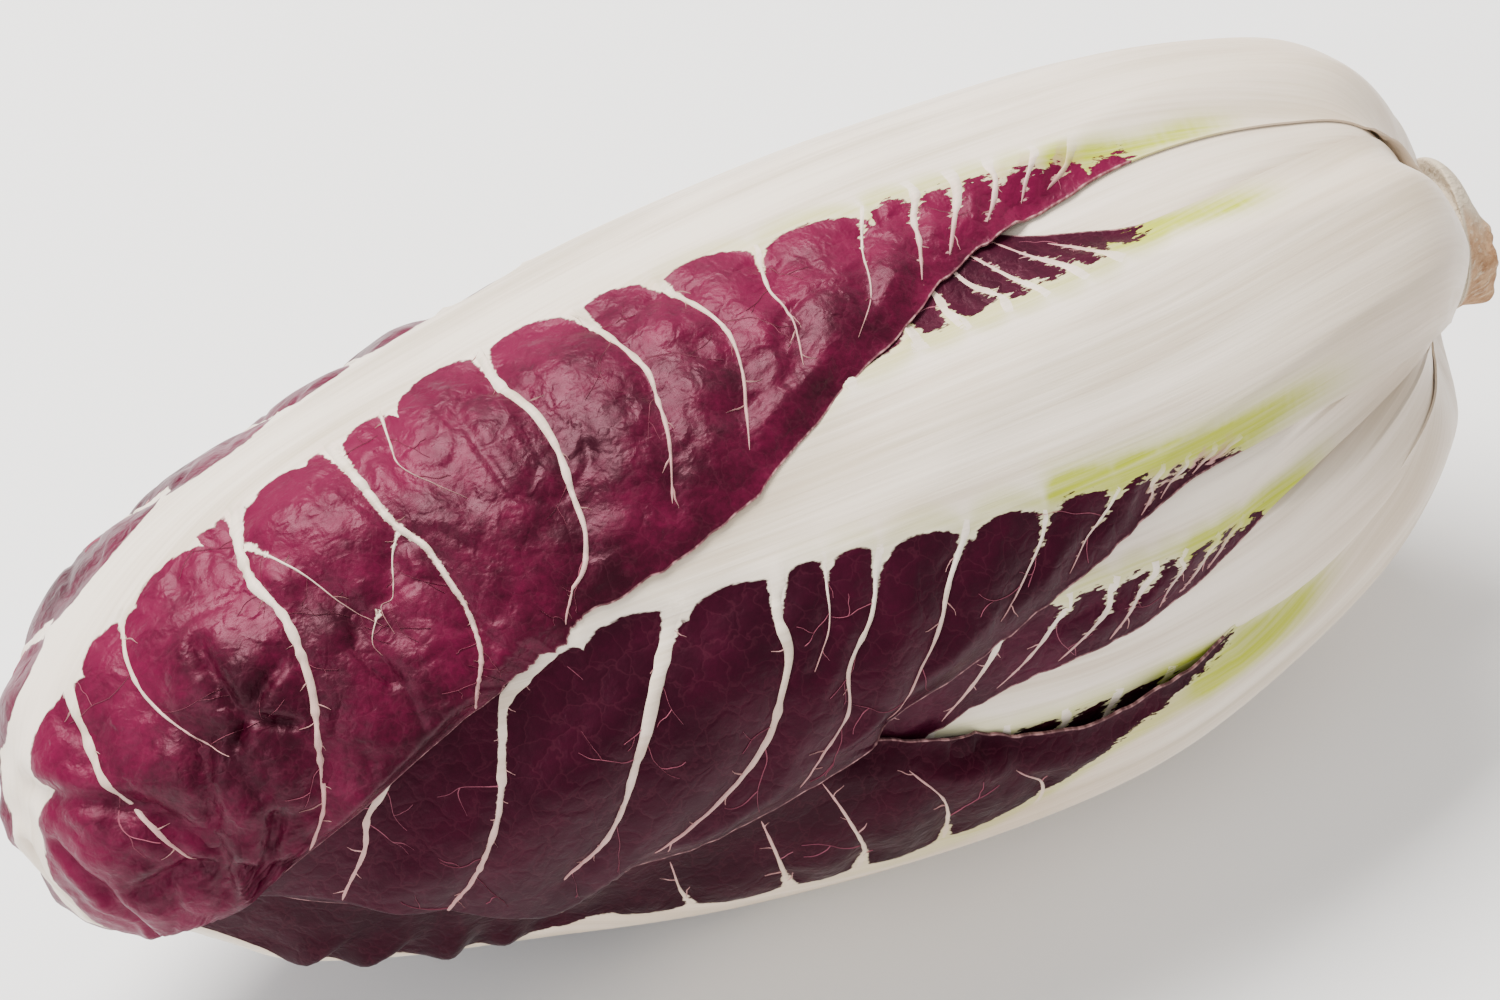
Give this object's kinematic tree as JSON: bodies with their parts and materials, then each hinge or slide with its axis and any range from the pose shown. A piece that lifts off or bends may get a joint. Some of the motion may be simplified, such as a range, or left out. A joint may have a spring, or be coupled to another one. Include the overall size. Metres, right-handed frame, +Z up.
{
  "type": "radicchio head",
  "caption": "Long radicchio head lying on its side: overlapping wine-red leaves with broad white ribs round a packed heart and a short cut stem.",
  "frame": {"origin": "centre of the bounding box in plan, on the surface that the head rests on", "axes": "+X along the head towards the cut root end, leaf tips towards -X, +Z up, the pictured side faces -Y and up"},
  "size_m": [0.1894, 0.0794, 0.0795],
  "materials": {
    "outer_leaves": "satin leaf skin, white ribs and wine-red blade",
    "inner_leaves": "satin leaf skin, white ribs and dark red blade",
    "heart_leaves": "packed inner leaves, pale at the root end",
    "cut_stem": "dry, fibrous cut root"
  },
  "bodies": {
    "root": {"stem": "cut_stem", "leaf_1_top": "outer_leaves", "leaf_2_front": "outer_leaves", "leaf_3_underside": "outer_leaves", "leaf_4_back": "outer_leaves", "leaf_5_back_low": "inner_leaves", "leaf_6_back_high": "inner_leaves", "leaf_7_front_low": "inner_leaves", "leaf_8_front_lowest": "inner_leaves", "leaf_9_front_high": "inner_leaves", "heart": "heart_leaves"}
  },
  "joints": []
}
